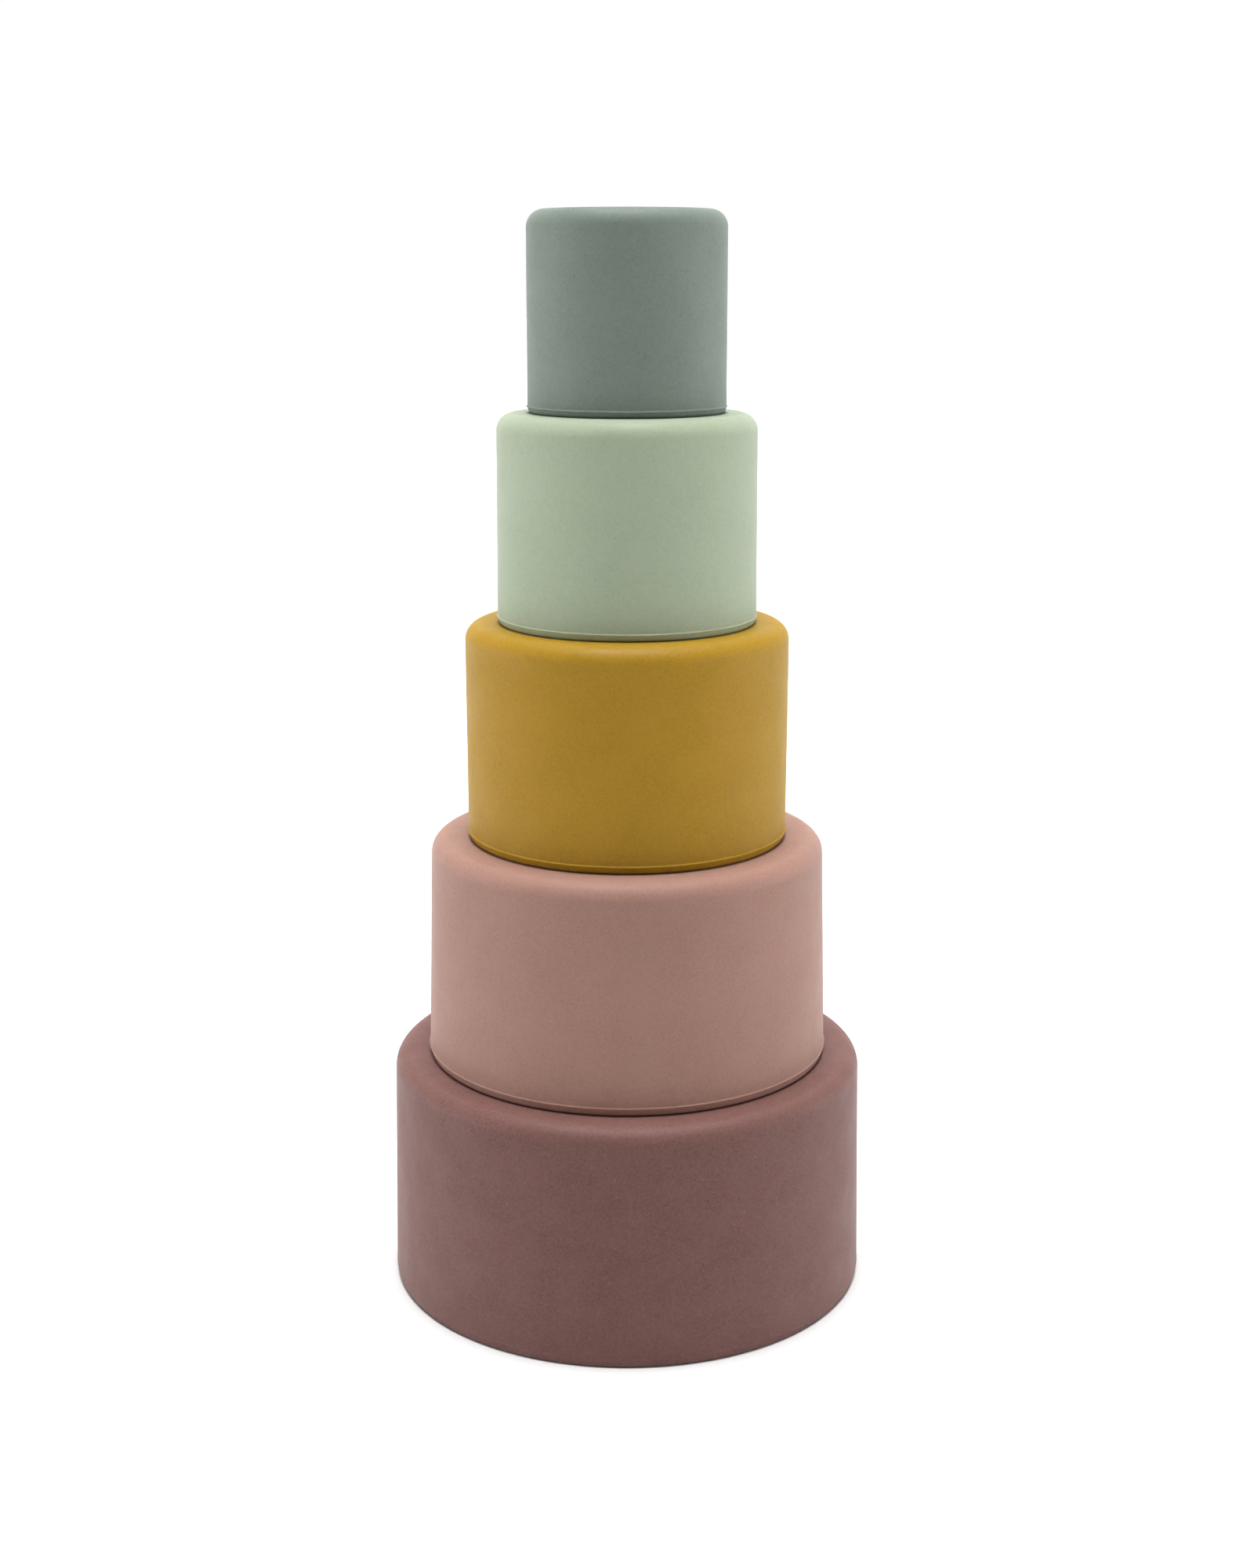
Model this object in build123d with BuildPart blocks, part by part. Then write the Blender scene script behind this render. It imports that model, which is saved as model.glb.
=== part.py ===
from build123d import *

import os

# Five one-piece silicone cups, turned open side down and stacked into a tower.
# The origin is the middle of the tower's foot, on the surface it stands on; +Z is up.
# All sizes are millimetres.

# Driving dimensions, from the foot of the tower up: name, width across the closed top,
# width across the open end of the wall, height, height of the raised line above the rim.
CUPS = [
    ("largest_cup", 100.0, 102.0, 50.4, 1.85),
    ("large_cup", 82.7, 85.3, 47.3, 1.70),
    ("middle_cup", 67.2, 67.0, 45.3, 1.60),
    ("small_cup", 53.1, 53.6, 42.7, 1.45),
    ("smallest_cup", 40.2, 40.4, 39.8, 1.30),
]

WALL = 3.0  # side wall
ROOF = 2.5  # closed end
SHOULDER_RADIUS = 3.5  # outside corner between the closed end and the side wall
INNER_SHOULDER_RADIUS = 2.6  # the same corner, inside the cup
LIP_TUCK = 0.9  # how far the outside of the lip slopes in, from the raised line down to the rim
LIP_OUTER_RADIUS = 0.3  # outside edge of the rim
LIP_INNER_RADIUS = 0.8  # inside edge of the rim
BEAD_RADIUS = 0.3  # the fine raised line that the split of the mould leaves above the lip
BEAD_PROUD = 0.12  # how far that line stands out of the wall


def make_cup(name, foot, top_width, rim_width, height, bead_height):
    """Turn one cup about the tower's middle line, standing on its rim at the height of foot."""
    top_radius = top_width / 2
    rim_radius = rim_width / 2
    wall_at_bead = rim_radius + (top_radius - rim_radius) * bead_height / height
    slope_top = (wall_at_bead, bead_height - BEAD_RADIUS / 2)
    outer_rim = (rim_radius - LIP_TUCK, 0)
    inner_rim = (rim_radius - WALL, 0)
    outer_shoulder = (top_radius, height)
    inner_shoulder = (top_radius - WALL, height - ROOF)
    rounded_corners = [
        (outer_shoulder, SHOULDER_RADIUS),
        (inner_shoulder, INNER_SHOULDER_RADIUS),
        (outer_rim, LIP_OUTER_RADIUS),
        (inner_rim, LIP_INNER_RADIUS),
    ]

    with BuildPart() as cup:
        section_plane = Plane(origin=(0, 0, foot), x_dir=(1, 0, 0), z_dir=(0, -1, 0))
        with BuildSketch(section_plane) as section:
            with BuildLine():
                Polyline(
                    outer_rim,
                    slope_top,
                    outer_shoulder,
                    (0, height),
                    (0, height - ROOF),
                    inner_shoulder,
                    inner_rim,
                    close=True,
                )
            make_face()
            for corner, radius in rounded_corners:
                fillet(section.vertices().sort_by_distance(corner)[0], radius)
            with Locations((wall_at_bead + BEAD_PROUD - BEAD_RADIUS, bead_height)):
                Circle(BEAD_RADIUS)
        revolve(axis=Axis.Z)
    cup.part.label = name
    export_step(cup.part, f"parts/{name}.step")


os.makedirs("parts", exist_ok=True)

foot = 0.0
for name, top_width, rim_width, height, bead_height in CUPS:
    make_cup(name, foot, top_width, rim_width, height, bead_height)
    foot += height
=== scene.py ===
"""Five nesting cups of matte silicone, turned open side down and stacked into a tower.

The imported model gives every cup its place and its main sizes. Each cup is turned again here as a finer
mesh, with its rounded shoulder, the fine bead that the mould leaves above the rim, its sloped lip and
its hollow inside, and is finished in matte silicone of its own colour. A pale floor, soft lights and a
camera complete the set. All lengths are metres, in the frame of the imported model.
"""

import logging
import math
from dataclasses import dataclass, field
from enum import Enum

import bpy
import numpy as np
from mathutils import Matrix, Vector

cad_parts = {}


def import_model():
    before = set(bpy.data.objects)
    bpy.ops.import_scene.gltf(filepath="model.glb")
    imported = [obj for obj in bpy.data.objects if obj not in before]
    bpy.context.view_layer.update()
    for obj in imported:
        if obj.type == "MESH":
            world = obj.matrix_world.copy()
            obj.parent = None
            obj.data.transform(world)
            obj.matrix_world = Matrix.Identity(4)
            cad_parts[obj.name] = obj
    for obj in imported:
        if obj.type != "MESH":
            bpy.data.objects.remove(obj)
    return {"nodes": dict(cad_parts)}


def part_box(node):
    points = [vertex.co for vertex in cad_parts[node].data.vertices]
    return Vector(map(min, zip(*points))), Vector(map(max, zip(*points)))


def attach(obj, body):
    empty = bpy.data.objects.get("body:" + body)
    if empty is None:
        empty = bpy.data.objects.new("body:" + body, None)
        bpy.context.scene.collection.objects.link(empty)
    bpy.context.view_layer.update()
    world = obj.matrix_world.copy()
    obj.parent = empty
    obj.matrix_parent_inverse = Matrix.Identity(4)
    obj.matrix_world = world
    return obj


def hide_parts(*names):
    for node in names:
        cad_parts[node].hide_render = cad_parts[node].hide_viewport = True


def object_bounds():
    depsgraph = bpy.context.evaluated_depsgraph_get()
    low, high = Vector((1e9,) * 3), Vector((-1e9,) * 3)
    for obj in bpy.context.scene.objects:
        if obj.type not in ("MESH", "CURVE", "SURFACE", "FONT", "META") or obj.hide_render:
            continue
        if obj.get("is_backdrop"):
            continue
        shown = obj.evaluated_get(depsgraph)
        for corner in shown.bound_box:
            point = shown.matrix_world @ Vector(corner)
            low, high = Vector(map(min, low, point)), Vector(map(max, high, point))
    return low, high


LOG = logging.getLogger("stacking_cups")
MM = 0.001
PACKED_BEAD = 0.12 * MM  # how far the bead of a packed cup stands out of its wall

Point = tuple[float, float]
Colour = tuple[float, float, float]

BLACK: Colour = (0.0, 0.0, 0.0)
WHITE: Colour = (1.0, 1.0, 1.0)
SOFT_CONTRAST: Point = (0.3, 0.7)  # the stretch of a noise pattern that fades gently from end to end
CRISP_CONTRAST: Point = (0.35, 0.65)  # the narrower stretch that fades faster

# A mix node has sockets for every kind of value. These are the ones in use.
MIX_SHARE = 0
MIX_NUMBERS = (2, 3)
MIX_COLOURS = (6, 7)
MIX_NUMBER_RESULT = 0
MIX_COLOUR_RESULT = 2

# Where a packed cup keeps its bead and its shoulder, as shares of its height.
BEAD_ZONE = 0.1
SHOULDER_ZONE = 0.8

# How finely a cup's half section is divided: the steps of each arc, and the shares of each straight.
SHOULDER_STEPS = 20
LIP_STEPS = 6
INNER_LIP_STEPS = 8
INNER_SHOULDER_STEPS = 12
FLAT_STOPS = [0.0, 0.12, 0.25, 0.4, 0.55, 0.7, 0.82, 0.9, 0.95, 0.98]
INNER_STOPS = [0.03, 0.1, 0.2, 0.3, 0.4, 0.5, 0.6, 0.7, 0.8, 0.9, 0.97]
QUARTERS = [0.25, 0.5, 0.75]
HALFWAY = [0.5]

# The outer wall is divided evenly down to the bead and finely over it. Both ends are in rises of the bead
# above its crest.
EVEN_STEPS = 26
EVEN_END = 3.0
FINE_STEPS = 22
FINE_START = 2.7

FLAT_END_HOLD = 8  # a power of the radius, which keeps the swelling off the flat end
BEAD_MEAN = 0.86  # the bead's size, as a share of its full size, before its waves


class Pigment(Enum):
    """The colours that the silicone is pigmented in, as linear red, green and blue."""

    MAUVE = (0.2005, 0.0940, 0.0820)
    BLUSH = (0.3837, 0.2163, 0.1712)
    MUSTARD = (0.4145, 0.2355, 0.0085)
    MINT = (0.3883, 0.4587, 0.3290)
    SAGE = (0.2040, 0.2507, 0.2161)


class Side(Enum):
    """Where a bank of light stands, as the direction from the tower towards it."""

    LEFT = (-1.0, 0.0, 0.0)
    RIGHT = (1.0, 0.0, 0.0)
    ABOVE = (0.0, 0.0, 1.0)
    BEHIND = (0.0, 1.0, 0.0)
    IN_FRONT = (0.0, -1.0, 0.0)


class Graph:
    """A tree of shader nodes, with the steps that finishes and lights both need."""

    def __init__(self, owner: bpy.types.Material | bpy.types.World, place: str) -> None:
        """Open the owner's node tree and clear it.

        Args:
            owner: the material or the world whose nodes are made here.
            place: the name of the coordinates that its patterns follow.
        """
        owner.use_nodes = True
        self.tree = owner.node_tree
        self.tree.nodes.clear()
        self.place = self.node("ShaderNodeTexCoord").outputs[place]

    def node(self, kind: str, **settings: object) -> bpy.types.Node:
        """Add a node and set its properties.

        Args:
            kind: the node's type name.
            **settings: the node's own properties and their values.

        Returns:
            The new node.
        """
        made = self.tree.nodes.new(kind)
        for name, value in settings.items():
            setattr(made, name, value)
        return made

    def link(self, source: bpy.types.NodeSocket, target: bpy.types.NodeSocket) -> None:
        """Join an output to an input."""
        self.tree.links.new(source, target)

    def combine(self, operation: str, *values: bpy.types.NodeSocket | float) -> bpy.types.NodeSocket:
        """Do one sum on two values.

        Args:
            operation: the name of the sum, such as MULTIPLY.
            *values: sockets or plain numbers.

        Returns:
            The result.
        """
        made = self.node("ShaderNodeMath", operation=operation)
        for socket, value in zip(made.inputs, values):
            if isinstance(value, bpy.types.NodeSocket):
                self.link(value, socket)
            else:
                socket.default_value = value
        return made.outputs["Value"]


class FinishGraph(Graph):
    """The node tree of a finish, with one short method for each kind of node that finishes use."""

    def __init__(self, material: bpy.types.Material) -> None:
        """Open the material's node tree, with patterns fixed to the piece."""
        super().__init__(material, "Object")

    def noise(self, size: float, detail: float = 2.0, roughness: float = 0.5) -> bpy.types.NodeSocket:
        """Make a cloudy pattern fixed to the piece.

        Args:
            size: the width of one blotch, in metres.
            detail: how many finer layers lie over the first.
            roughness: how strong the finer layers are.

        Returns:
            The pattern's value, about 0.5 on average.
        """
        made = self.node("ShaderNodeTexNoise")
        made.inputs["Scale"].default_value = 1.0 / size
        made.inputs["Detail"].default_value = detail
        made.inputs["Roughness"].default_value = roughness
        self.link(self.place, made.inputs["Vector"])
        return made.outputs["Fac"]

    def specks(self, spacing: float, size: float) -> bpy.types.NodeSocket:
        """Scatter small round specks.

        Args:
            spacing: the distance between the cells that may hold a speck, in metres.
            size: the speck's radius, in metres.

        Returns:
            1 at the middle of a speck, falling to 0 at its edge and between specks.
        """
        made = self.node("ShaderNodeTexVoronoi", feature="F1", distance="EUCLIDEAN")
        made.inputs["Scale"].default_value = 1.0 / spacing
        self.link(self.place, made.inputs["Vector"])
        return self.fit(made.outputs["Distance"], (0.0, size / spacing), (1.0, 0.0))

    def fit(self, value: bpy.types.NodeSocket, given: Point, wanted: Point) -> bpy.types.NodeSocket:
        """Stretch a value from one range to another, without going past the second.

        Args:
            value: the value to stretch.
            given: the low and high end of the range it has.
            wanted: what those two ends become.

        Returns:
            The stretched value.
        """
        made = self.node("ShaderNodeMapRange", clamp=True)
        for socket, number in zip(("From Min", "From Max", "To Min", "To Max"), given + wanted):
            made.inputs[socket].default_value = number
        self.link(value, made.inputs["Value"])
        return made.outputs["Result"]

    def blend(
        self,
        share: bpy.types.NodeSocket,
        first: bpy.types.NodeSocket | Colour,
        second: bpy.types.NodeSocket | Colour,
    ) -> bpy.types.NodeSocket:
        """Mix two colours.

        Args:
            share: how much of the second there is, from 0 to 1.
            first: a colour socket, or a colour.
            second: a colour socket, or a colour.

        Returns:
            The mixed colour.
        """
        made = self.node("ShaderNodeMix", data_type="RGBA", blend_type="MIX", clamp_factor=True)
        self.link(share, made.inputs[MIX_SHARE])
        for index, value in zip(MIX_COLOURS, (first, second)):
            if isinstance(value, bpy.types.NodeSocket):
                self.link(value, made.inputs[index])
            else:
                made.inputs[index].default_value = (*value, 1.0)
        return made.outputs[MIX_COLOUR_RESULT]

    def bump(self, height: bpy.types.NodeSocket, depth: float, strength: float) -> bpy.types.NodeSocket:
        """Turn a height pattern into a surface normal.

        Args:
            height: the pattern, from 0 to 1.
            depth: how deep the whole pattern is, in metres.
            strength: how much of it the light sees, from 0 to 1.

        Returns:
            The normal.
        """
        made = self.node("ShaderNodeBump")
        made.inputs["Strength"].default_value = strength
        made.inputs["Distance"].default_value = depth
        self.link(height, made.inputs["Height"])
        return made.outputs["Normal"]

    def surface(self, **values: float | tuple[float, ...]) -> bpy.types.Node:
        """Make the material's surface.

        Args:
            **values: the shader's plain inputs by name, with underscores for the spaces.

        Returns:
            The shader, joined to the material's output.
        """
        shader = self.node("ShaderNodeBsdfPrincipled")
        for name, value in values.items():
            shader.inputs[name.replace("_", " ")].default_value = value
        self.link(shader.outputs["BSDF"], self.node("ShaderNodeOutputMaterial").inputs["Surface"])
        return shader


def tinted(colour: Colour, share: float) -> Colour:
    """Return a colour made lighter or darker by a share of itself."""
    return tuple(min(1.0, part * (1.0 + share)) for part in colour)


@dataclass(frozen=True)
class MatteSilicone:
    """Soft pigmented silicone with its mould's fine blasted grain, and painted shade in the grain's hollows
    and pores, stronger on a coarser cup.
    """

    pigment: Pigment
    # how strong the painted shade in the grain's hollows and pores, and the pale flecks, are on this cup
    painted_shade_and_fleck_scale: float = 1.0
    roughness: float = 0.58
    roughness_swing: float = 0.05
    roughness_detail: float = 3.0
    reflected_index: float = 1.34
    sheen: float = 0.05
    sheen_roughness: float = 0.45
    sheen_tint: Colour = WHITE
    depth_of_glow: float = 1.0 * MM
    glow: float = 0.6
    glow_spread: Colour = (1.0, 0.7, 0.5)
    cloud_size: float = 18 * MM
    cloud_detail: float = 4.0
    cloud_swing: float = 0.022
    mottle_size: float = 1.5 * MM
    mottle_swing: float = 0.035
    grain_size: float = 0.55 * MM
    grain_detail: float = 3.0
    grain_roughness: float = 0.65
    grain_depth: float = 0.05 * MM
    grain_strength: float = 0.55
    # painted shade in the hollows of the grain, as a share of the colour
    painted_grain_shade: float = 0.15
    patch_size: float = 7 * MM
    patch_least: float = 0.65
    pore_spacing: float = 0.8 * MM
    pore_size: float = 0.24 * MM
    # painted shade in the pores, as a share of the colour
    painted_pore_shade: float = 0.26
    fleck_spacing: float = 2.2 * MM
    fleck_size: float = 0.20 * MM
    fleck_lightness: float = 0.07

    def colour(self, graph: FinishGraph, grain: bpy.types.NodeSocket) -> bpy.types.NodeSocket:
        """Cloud the pigment faintly, darken the grain's hollows and small pores with painted shade, and
        sprinkle pale flecks.

        Args:
            graph: the material's nodes.
            grain: the pattern of the moulded grain.

        Returns:
            The colour at each place.
        """
        base = self.pigment.value
        painted_grain_shade = self.painted_grain_shade * self.painted_shade_and_fleck_scale
        painted_pore_shade = self.painted_pore_shade * self.painted_shade_and_fleck_scale
        fleck_lightness = self.fleck_lightness * self.painted_shade_and_fleck_scale

        cloud = graph.fit(graph.noise(self.cloud_size, self.cloud_detail), SOFT_CONTRAST, (0.0, 1.0))
        shade = graph.blend(cloud, tinted(base, -self.cloud_swing), tinted(base, self.cloud_swing))
        mottle = graph.fit(graph.noise(self.mottle_size), SOFT_CONTRAST, (self.mottle_swing, 0.0))
        shade = graph.blend(mottle, shade, BLACK)
        patches = graph.fit(graph.noise(self.patch_size), CRISP_CONTRAST, (self.patch_least, 1.0))
        # Painted shade: darker where the grain pattern that also drives the bump is low.
        painted_valley_shade = graph.fit(grain, CRISP_CONTRAST, (painted_grain_shade, 0.0))
        shade = graph.blend(graph.combine("MULTIPLY", painted_valley_shade, patches), shade, BLACK)
        # Painted shade in small round pores, which have no depth in the mesh.
        pores = graph.combine("MULTIPLY", graph.specks(self.pore_spacing, self.pore_size), patches)
        shade = graph.blend(graph.combine("MULTIPLY", pores, painted_pore_shade), shade, BLACK)
        flecks = graph.specks(self.fleck_spacing, self.fleck_size)
        return graph.blend(graph.combine("MULTIPLY", flecks, fleck_lightness), shade, WHITE)

    def material(self) -> bpy.types.Material:
        """Make the finish as a material.

        Returns:
            The material, named after its pigment.
        """
        made = bpy.data.materials.new(f"{self.pigment.name.lower()}_silicone")
        graph = FinishGraph(made)
        shader = graph.surface(
            IOR=self.reflected_index,
            Sheen_Weight=self.sheen,
            Sheen_Roughness=self.sheen_roughness,
            Sheen_Tint=(*self.sheen_tint, 1.0),
            Subsurface_Weight=self.glow,
            Subsurface_Radius=self.glow_spread,
            Subsurface_Scale=self.depth_of_glow,
        )
        grain = graph.noise(self.grain_size, self.grain_detail, self.grain_roughness)
        swing = graph.fit(
            graph.noise(self.patch_size, self.roughness_detail),
            SOFT_CONTRAST,
            (self.roughness - self.roughness_swing, self.roughness + self.roughness_swing),
        )
        graph.link(self.colour(graph, grain), shader.inputs["Base Color"])
        graph.link(swing, shader.inputs["Roughness"])
        graph.link(graph.bump(grain, self.grain_depth, self.grain_strength), shader.inputs["Normal"])
        return made


@dataclass(frozen=True)
class PaleBoard:
    """The plain matt board that the tower stands on."""

    colour: Colour = (0.80, 0.80, 0.80)
    roughness: float = 0.9
    reflection: float = 0.1
    fibre_size: float = 1.5 * MM
    fibre_depth: float = 0.02 * MM
    fibre_strength: float = 0.2
    fibre_swing: float = 0.01

    def material(self) -> bpy.types.Material:
        """Make the finish as a material.

        Returns:
            The material, named pale_board.
        """
        made = bpy.data.materials.new("pale_board")
        graph = FinishGraph(made)
        shader = graph.surface(Roughness=self.roughness, Specular_IOR_Level=self.reflection)
        fibre = graph.noise(self.fibre_size)
        darker, lighter = tinted(self.colour, -self.fibre_swing), tinted(self.colour, self.fibre_swing)
        graph.link(graph.blend(fibre, darker, lighter), shader.inputs["Base Color"])
        graph.link(graph.bump(fibre, self.fibre_depth, self.fibre_strength), shader.inputs["Normal"])
        return made


@dataclass(frozen=True)
class Wave:
    """A wave round a cup: how many there are, their size, their lead and their twist from foot to top."""

    count: int
    size: float
    lead: float
    twist: float = 0.0

    def at(self, turn: np.ndarray, share: np.ndarray, phase: float) -> np.ndarray:
        """Return how high the wave is at each angle and each share of the cup's height."""
        return self.size * np.sin(self.count * turn + self.lead * phase + self.twist * share)


WALL_WAVES = (
    Wave(count=2, size=1.0, lead=1.0),
    Wave(count=3, size=0.6, lead=1.7, twist=3.0),
    Wave(count=5, size=0.4, lead=0.6, twist=-5.0),
)
BEAD_WAVES = (
    Wave(count=7, size=0.09, lead=1.0),
    Wave(count=19, size=0.05, lead=2.0),
)


@dataclass(frozen=True)
class WallLine:
    """The straight outer wall of a cup in half section: its two ends, as (radius, height)."""

    low: Point
    high: Point

    @classmethod
    def of_node(cls, node: bpy.types.Object, bead_proud: float) -> "WallLine":
        """Find the wall of a packed cup, from its bead up to where its shoulder begins.

        Args:
            node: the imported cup.
            bead_proud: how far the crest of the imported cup's bead stands out of the wall.

        Returns:
            The wall, from under the bead's crest to the widest place near the top.
        """
        corners = np.array([vertex.co for vertex in node.data.vertices], float)
        radius, height = np.hypot(corners[:, 0], corners[:, 1]), corners[:, 2]
        foot, tall = height.min(), height.max() - height.min()
        low_part = height < foot + BEAD_ZONE * tall
        crest = np.flatnonzero(low_part)[np.argmax(radius[low_part])]
        high_part = height > foot + SHOULDER_ZONE * tall
        widest = np.flatnonzero(high_part)[np.argmax(radius[high_part])]
        return cls(
            low=(float(radius[crest]) - bead_proud, float(height[crest])),
            high=(float(radius[widest]), float(height[widest])),
        )

    def radius_at(self, height: float) -> float:
        """Return the wall's radius at a height, on the wall's own line."""
        share = (height - self.low[1]) / (self.high[1] - self.low[1])
        return self.low[0] + share * (self.high[0] - self.low[0])


def round_corner(before: Point, corner: Point, after: Point, radius: float, steps: int) -> list[Point]:
    """Replace the corner of an outline by an arc that meets both of its sides smoothly.

    Args:
        before: the outline's point before the corner.
        corner: the sharp corner.
        after: the outline's point after the corner.
        radius: the arc's radius.
        steps: how many pieces the arc is divided into.

    Returns:
        The points along the arc.
    """
    at = Vector(corner)
    to_before = (Vector(before) - at).normalized()
    to_after = (Vector(after) - at).normalized()
    half_angle = to_before.angle(to_after) / 2
    centre = at + (to_before + to_after).normalized() * (radius / math.sin(half_angle))
    start = at + to_before * (radius / math.tan(half_angle)) - centre
    end = at + to_after * (radius / math.tan(half_angle)) - centre
    turn = start.angle(end)
    points = []
    for step in range(steps + 1):
        share = step / steps
        swung = (start * math.sin((1 - share) * turn) + end * math.sin(share * turn)) / math.sin(turn)
        points.append(tuple(centre + swung))
    return points


def run(start: Point, end: Point, stops: list[float]) -> list[Point]:
    """Return the points of a straight stretch at the given shares of its length."""
    return [(start[0] + (end[0] - start[0]) * s, start[1] + (end[1] - start[1]) * s) for s in stops]


@dataclass
class Cup:
    """One cup, moulded in one piece and standing on its open rim."""

    node: str
    finish: MatteSilicone
    slot: str
    wall_thickness: float = 3.0 * MM
    roof_thickness: float = 2.5 * MM
    shoulder_radius: float = 3.5 * MM
    inner_shoulder_radius: float = 2.6 * MM
    lip_tuck: float = 0.8 * MM
    lip_turn_in: float = 0.26 * MM
    lip_turn_height: float = 0.36 * MM
    lip_turn_radius: float = 0.5 * MM
    lip_edge_radius: float = 0.15 * MM
    lip_outer_radius: float = 0.15 * MM
    lip_inner_radius: float = 0.8 * MM
    bead_height: float = 1.45 * MM
    bead_proud: float = 0.20 * MM
    bead_rise: float = 0.17 * MM
    bead_fall: float = 0.12 * MM
    softness: float = 0.035 * MM
    segments: int = 288

    def outline(self, wall: WallLine, foot: float, top: float) -> list[Point]:
        """Draw the cup's half section from the middle of its top, over the wall and lip, to the inside.

        Args:
            wall: the outer wall's line.
            foot: the height of the rim.
            top: the height of the closed end.

        Returns:
            The points of the half section, as (radius, height).
        """
        shoulder = (wall.radius_at(top), top)
        wall_foot = wall.radius_at(foot)
        lip_edge = (wall.radius_at(foot + self.bead_height), foot + self.bead_height - self.bead_fall)
        lip_turn = (wall_foot - self.lip_turn_in, foot + self.lip_turn_height)
        rim = (wall_foot - self.lip_tuck, foot)
        inner_rim = (wall_foot - self.wall_thickness, foot)
        inner_shoulder = (shoulder[0] - self.wall_thickness, top - self.roof_thickness)
        middle_top = (0.0, top)
        middle_under = (0.0, top - self.roof_thickness)

        shoulder_arc = round_corner(middle_top, shoulder, lip_edge, self.shoulder_radius, SHOULDER_STEPS)
        edge_arc = round_corner(shoulder, lip_edge, lip_turn, self.lip_edge_radius, LIP_STEPS)
        turn_arc = round_corner(lip_edge, lip_turn, rim, self.lip_turn_radius, LIP_STEPS)
        lip_arc = round_corner(lip_turn, rim, inner_rim, self.lip_outer_radius, LIP_STEPS)
        inner_lip_arc = round_corner(rim, inner_rim, inner_shoulder, self.lip_inner_radius, INNER_LIP_STEPS)
        inner_arc = round_corner(
            inner_rim, inner_shoulder, middle_under, self.inner_shoulder_radius, INNER_SHOULDER_STEPS
        )

        points = run(middle_top, shoulder_arc[0], FLAT_STOPS)
        points += shoulder_arc
        points += self.wall_points(shoulder_arc[-1], edge_arc[0], foot)
        points += edge_arc
        points += run(edge_arc[-1], turn_arc[0], QUARTERS)
        points += turn_arc
        points += run(turn_arc[-1], lip_arc[0], HALFWAY)
        points += lip_arc
        points += run(lip_arc[-1], inner_lip_arc[0], QUARTERS)
        points += inner_lip_arc
        points += run(inner_lip_arc[-1], inner_arc[0], INNER_STOPS)
        points += inner_arc
        points += run(inner_arc[-1], middle_under, [1.0 - stop for stop in reversed(FLAT_STOPS)])
        return points

    def wall_points(self, high: Point, low: Point, foot: float) -> list[Point]:
        """Divide the outer wall evenly, and finely where the bead stands.

        Args:
            high: the end of the shoulder's arc.
            low: the start of the arc at the upper edge of the lip.
            foot: the height of the rim.

        Returns:
            The wall's points from the top down, on its straight line.
        """
        bead = foot + self.bead_height
        even = np.linspace(high[1], bead + EVEN_END * self.bead_rise, EVEN_STEPS)[1:]
        fine = np.linspace(bead + FINE_START * self.bead_rise, low[1], FINE_STEPS)[:-1]
        heights = np.array([*even, *fine])
        shares = (high[1] - heights) / (high[1] - low[1])
        return run(high, low, list(shares))

    def bead_stand(self, above: np.ndarray, swing: np.ndarray) -> np.ndarray:
        """Return how far the bead stands out at each height above the rim.

        Args:
            above: the height above the rim.
            swing: the bead's size at each place, as a share of its full size.

        Returns:
            How far it stands out of the wall, and of the lip below it.
        """
        from_crest = above - self.bead_height
        reach = np.where(from_crest > 0.0, self.bead_rise, self.bead_fall)
        return self.bead_proud * swing * np.exp(-((from_crest / reach) ** 2))

    def softened(
        self, radius: np.ndarray, height: np.ndarray, turn: np.ndarray, foot: float, top: float
    ) -> np.ndarray:
        """Let the wall swell and sink a little, as a soft moulding does, and stand the bead on it.

        Args:
            radius: the outline's radius at each point.
            height: the height of each point.
            turn: the angle of each point about the middle line.
            foot: the height of the rim.
            top: the height of the closed end.

        Returns:
            The radius of each point of the finished surface.
        """
        share = (height - foot) / (top - foot)
        halfway = np.clip(share * (1.0 - share) * 4.0, 0.0, 1.0)  # 0 at both ends, 1 in the middle
        freedom = halfway * (radius / radius.max()) ** FLAT_END_HOLD
        phase = sum(ord(letter) for letter in self.node)  # each cup's own
        swell = sum(wave.at(turn, share, phase) for wave in WALL_WAVES)
        full_swell = sum(wave.size for wave in WALL_WAVES)
        bead_size = sum((wave.at(turn, share, phase) for wave in BEAD_WAVES), start=BEAD_MEAN)
        outside = radius > radius.max() - self.wall_thickness / 2
        bead = np.where(outside, self.bead_stand(height - foot, bead_size), 0.0)
        return radius + freedom * swell * self.softness / full_swell + bead

    def build(self, cup: bpy.types.Object) -> bpy.types.Object:
        """Turn the cup's outline about the middle line into a closed mesh.

        Args:
            cup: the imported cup, which gives the place and the main sizes.

        Returns:
            The finished piece, not yet riding on a body.
        """
        lowest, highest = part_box(self.node)
        foot, top = lowest.z, highest.z
        outline = self.outline(WallLine.of_node(cup, PACKED_BEAD), foot, top)
        inner = np.array(outline[1:-1])
        turns = np.arange(self.segments) * (2 * math.pi / self.segments)
        radius = np.repeat(inner[:, 0][:, None], self.segments, axis=1)
        height = np.repeat(inner[:, 1][:, None], self.segments, axis=1)
        turn = np.repeat(turns[None, :], len(inner), axis=0)
        radius = self.softened(radius, height, turn, foot, top)
        rings = np.stack([radius * np.cos(turn), radius * np.sin(turn), height], axis=-1).reshape(-1, 3)
        vertices = [(0.0, 0.0, outline[0][1]), *map(tuple, rings), (0.0, 0.0, outline[-1][1])]
        return self.make_piece(vertices, len(inner))

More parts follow.
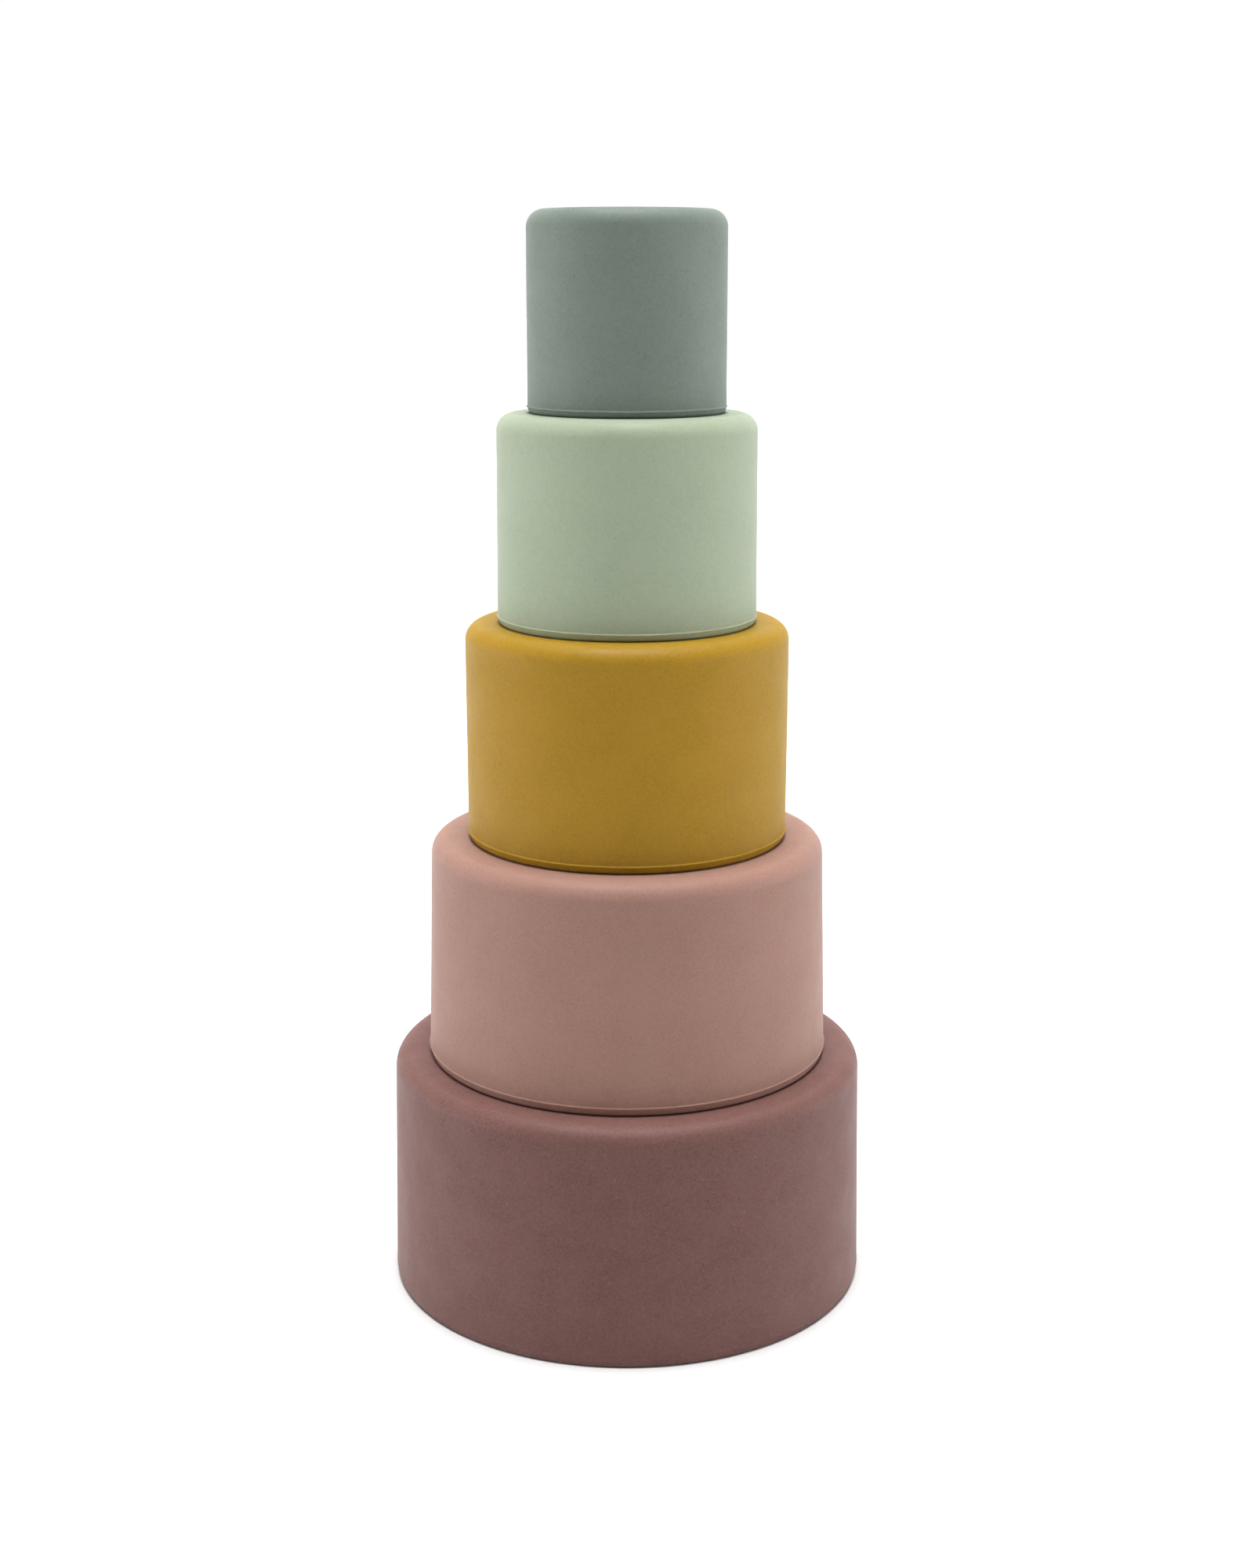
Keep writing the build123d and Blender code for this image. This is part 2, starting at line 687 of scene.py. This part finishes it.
    def make_piece(self, vertices: list[tuple[float, float, float]], rings: int) -> bpy.types.Object:
        """Join the rings of points into a smooth mesh.

        Args:
            vertices: the middle of the top, the rings from there on, and the middle of the underside.
            rings: how many rings there are.

        Returns:
            The piece, linked to the scene.
        """
        count, last = self.segments, len(vertices) - 1
        faces = []
        for ring in range(rings - 1):
            for step in range(count):
                near, far = 1 + ring * count, 1 + (ring + 1) * count
                after = (step + 1) % count
                faces.append((near + step, far + step, far + after, near + after))
        for step in range(count):
            after = (step + 1) % count
            faces.append((0, 1 + step, 1 + after))
            faces.append((last, last - count + after, last - count + step))
        mesh = bpy.data.meshes.new(f"{self.node}_moulding")
        mesh.from_pydata(vertices, [], faces)
        mesh.validate()
        mesh.shade_smooth()
        piece = bpy.data.objects.new(f"{self.node}_moulding", mesh)
        bpy.context.scene.collection.objects.link(piece)
        return piece

    def dress(self, piece: bpy.types.Object) -> None:
        """Give the piece its silicone and put it on its body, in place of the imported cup.

        Args:
            piece: the finished piece.
        """
        piece.data.materials.append(self.finish.material())
        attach(piece, self.node)
        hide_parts(self.node)


@dataclass
class Tower:
    """The five cups, from the foot up."""

    cups: list[Cup] = field(
        default_factory=lambda: [
            Cup(
                "largest_cup",
                MatteSilicone(Pigment.MAUVE, painted_shade_and_fleck_scale=1.5),
                "mauve_silicone",
                bead_height=1.85 * MM,
                bead_proud=0.06 * MM,
            ),
            Cup(
                "large_cup",
                MatteSilicone(Pigment.BLUSH, painted_shade_and_fleck_scale=0.8),
                "blush_silicone",
                bead_height=1.70 * MM,
            ),
            Cup(
                "middle_cup",
                MatteSilicone(Pigment.MUSTARD, sheen_tint=(1.0, 0.85, 0.45)),
                "mustard_silicone",
                bead_height=1.60 * MM,
                bead_proud=0.27 * MM,
            ),
            Cup(
                "small_cup",
                MatteSilicone(Pigment.MINT, painted_shade_and_fleck_scale=0.55),
                "mint_silicone",
                bead_height=1.45 * MM,
            ),
            Cup(
                "smallest_cup",
                MatteSilicone(Pigment.SAGE, painted_shade_and_fleck_scale=0.8),
                "sage_silicone",
                bead_height=1.30 * MM,
                bead_proud=0.26 * MM,
            ),
        ]
    )

    def build(self, nodes: dict[str, bpy.types.Object]) -> None:
        """Make, dress and report every cup.

        Args:
            nodes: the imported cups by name.
        """
        for cup in self.cups:
            piece = cup.build(nodes[cup.node])
            cup.dress(piece)
            LOG.info("%s: %d points", piece.name, len(piece.data.vertices))


@dataclass
class Floor:
    """A wide round board, level with the tower's foot."""

    radius: float = 9.0
    segments: int = 96
    finish: PaleBoard = PaleBoard()

    def build(self, height: float) -> bpy.types.Object:
        """Make the board.

        Args:
            height: the height of its upper face.

        Returns:
            The board, marked as not part of the object.
        """
        turns = [2 * math.pi * step / self.segments for step in range(self.segments)]
        rim = [(self.radius * math.cos(turn), self.radius * math.sin(turn), height) for turn in turns]
        mesh = bpy.data.meshes.new("floor_board")
        mesh.from_pydata(rim, [], [tuple(range(self.segments))])
        mesh.materials.append(self.finish.material())
        board = bpy.data.objects.new("floor_board", mesh)
        bpy.context.scene.collection.objects.link(board)
        board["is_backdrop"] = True
        LOG.info("floor_board: %.1f m across", 2 * self.radius)
        return board


@dataclass(frozen=True)
class LightBank:
    """A bank of light, far off: how fast it fades away from its middle, and how bright its middle is."""

    side: Side
    tightness: float
    brightness: float


class LightGraph(Graph):
    """The node tree of the studio's surroundings."""

    def __init__(self, world: bpy.types.World) -> None:
        """Open the world's node tree, with light that depends on the direction."""
        super().__init__(world, "Generated")

    def glow(self, bank: LightBank) -> bpy.types.NodeSocket:
        """Work out how bright a bank is in each direction.

        Args:
            bank: the bank of light.

        Returns:
            Its brightness.
        """
        towards = self.node("ShaderNodeVectorMath", operation="DOT_PRODUCT")
        self.link(self.place, towards.inputs[0])
        towards.inputs[1].default_value = bank.side.value
        ahead = self.combine("MAXIMUM", towards.outputs["Value"], 0.0)
        return self.combine("MULTIPLY", self.combine("POWER", ahead, bank.tightness), bank.brightness)

    def finish(self, light: bpy.types.NodeSocket, backdrop: float) -> None:
        """Let the banks light the set and show a plain backdrop behind it.

        Args:
            light: the brightness of all the banks in each direction.
            backdrop: the brightness of the backdrop.
        """
        choice = self.node("ShaderNodeMix", data_type="FLOAT")
        self.link(self.node("ShaderNodeLightPath").outputs["Is Camera Ray"], choice.inputs[MIX_SHARE])
        lit, seen = (choice.inputs[index] for index in MIX_NUMBERS)
        self.link(light, lit)
        seen.default_value = backdrop
        glow = self.node("ShaderNodeBackground")
        self.link(choice.outputs[MIX_NUMBER_RESULT], glow.inputs["Strength"])
        glow.inputs["Color"].default_value = (*WHITE, 1.0)
        self.link(glow.outputs["Background"], self.node("ShaderNodeOutputWorld").inputs["Surface"])


@dataclass
class Studio:
    """A white studio: a bank at each side, one overhead, a bright wall behind and a faint one in front."""

    backdrop: float = 1.0
    banks: tuple[LightBank, ...] = (
        LightBank(Side.LEFT, tightness=20.0, brightness=7.3),
        LightBank(Side.RIGHT, tightness=20.0, brightness=7.3),
        LightBank(Side.ABOVE, tightness=50.0, brightness=40.0),
        LightBank(Side.BEHIND, tightness=2.0, brightness=1.37),
        LightBank(Side.IN_FRONT, tightness=2.0, brightness=0.09),
    )

    def build(self) -> None:
        """Light the set and leave its colours as they are."""
        scene = bpy.context.scene
        scene.world = bpy.data.worlds.new("white_studio")
        graph = LightGraph(scene.world)
        light = graph.glow(self.banks[0])
        for bank in self.banks[1:]:
            light = graph.combine("ADD", light, graph.glow(bank))
        graph.finish(light, self.backdrop)
        scene.view_settings.view_transform = "Standard"
        scene.view_settings.look = "None"
        LOG.info("studio: %d banks of light", len(self.banks))


@dataclass(frozen=True)
class Viewpoint:
    """The camera in front of the tower, a little under the height of its top, aimed at its middle."""

    distance: float = 0.4337
    height: float = 0.2143
    pitch: float = 13.76
    lens: float = 48.47
    sensor_width: float = 36.0

    def build(self) -> None:
        """Make the camera and make it the scene's own."""
        data = bpy.data.cameras.new("viewpoint")
        data.sensor_width = self.sensor_width
        data.lens = self.lens
        camera = bpy.data.objects.new("viewpoint", data)
        camera.location = (0.0, -self.distance, self.height)
        camera.rotation_euler = (math.radians(90.0 - self.pitch), 0.0, 0.0)
        bpy.context.scene.collection.objects.link(camera)
        bpy.context.scene.camera = camera


def main() -> None:
    """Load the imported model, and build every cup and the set."""
    logging.basicConfig(level=logging.INFO, format="%(message)s")
    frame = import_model()
    packed_box = [list(corner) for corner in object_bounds()]
    Viewpoint().build()
    Tower().build(frame["nodes"])
    Floor().build(packed_box[0][2])
    Studio().build()


if __name__ == "__main__":
    main()
